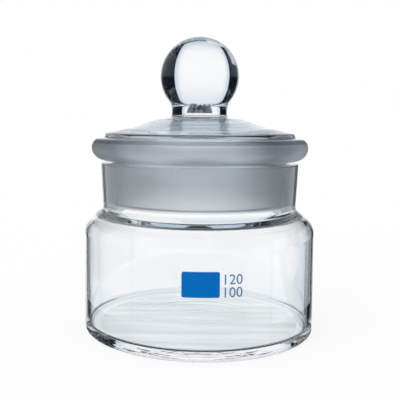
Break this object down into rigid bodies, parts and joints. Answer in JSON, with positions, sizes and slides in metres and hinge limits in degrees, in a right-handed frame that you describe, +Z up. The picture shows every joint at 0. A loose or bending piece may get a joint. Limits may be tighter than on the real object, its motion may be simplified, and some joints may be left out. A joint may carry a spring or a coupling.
{
  "type": "specimen jar",
  "caption": "Low-form round glass jar with a ground conical neck and a hollow ground-in lid with a flange and a solid ball knob; plain enamel marking on the front.",
  "frame": {"origin": "under the middle of the foot, on the surface that the jar stands on", "axes": "+Z up along the jar's axis of turning, the marking faces -Y, +X to the right of the marking"},
  "size_m": [0.069, 0.0692, 0.0877],
  "materials": {
    "jar_glass": "clear polished borosilicate glass, neck bore ground matt",
    "lid_glass": "clear polished borosilicate glass, plug and flange edge ground matt",
    "blue_enamel": "thin fired-on blue enamel, satin"
  },
  "bodies": {
    "jar": {"jar_body": "jar_glass", "marking_field": "blue_enamel"},
    "lid": {"lid": "lid_glass"}
  },
  "joints": [
    {"name": "lid_lift", "type": "slide", "parent": "jar", "child": "lid", "axis": [0, 0, 1], "range_m": [0, 0.04]}
  ]
}
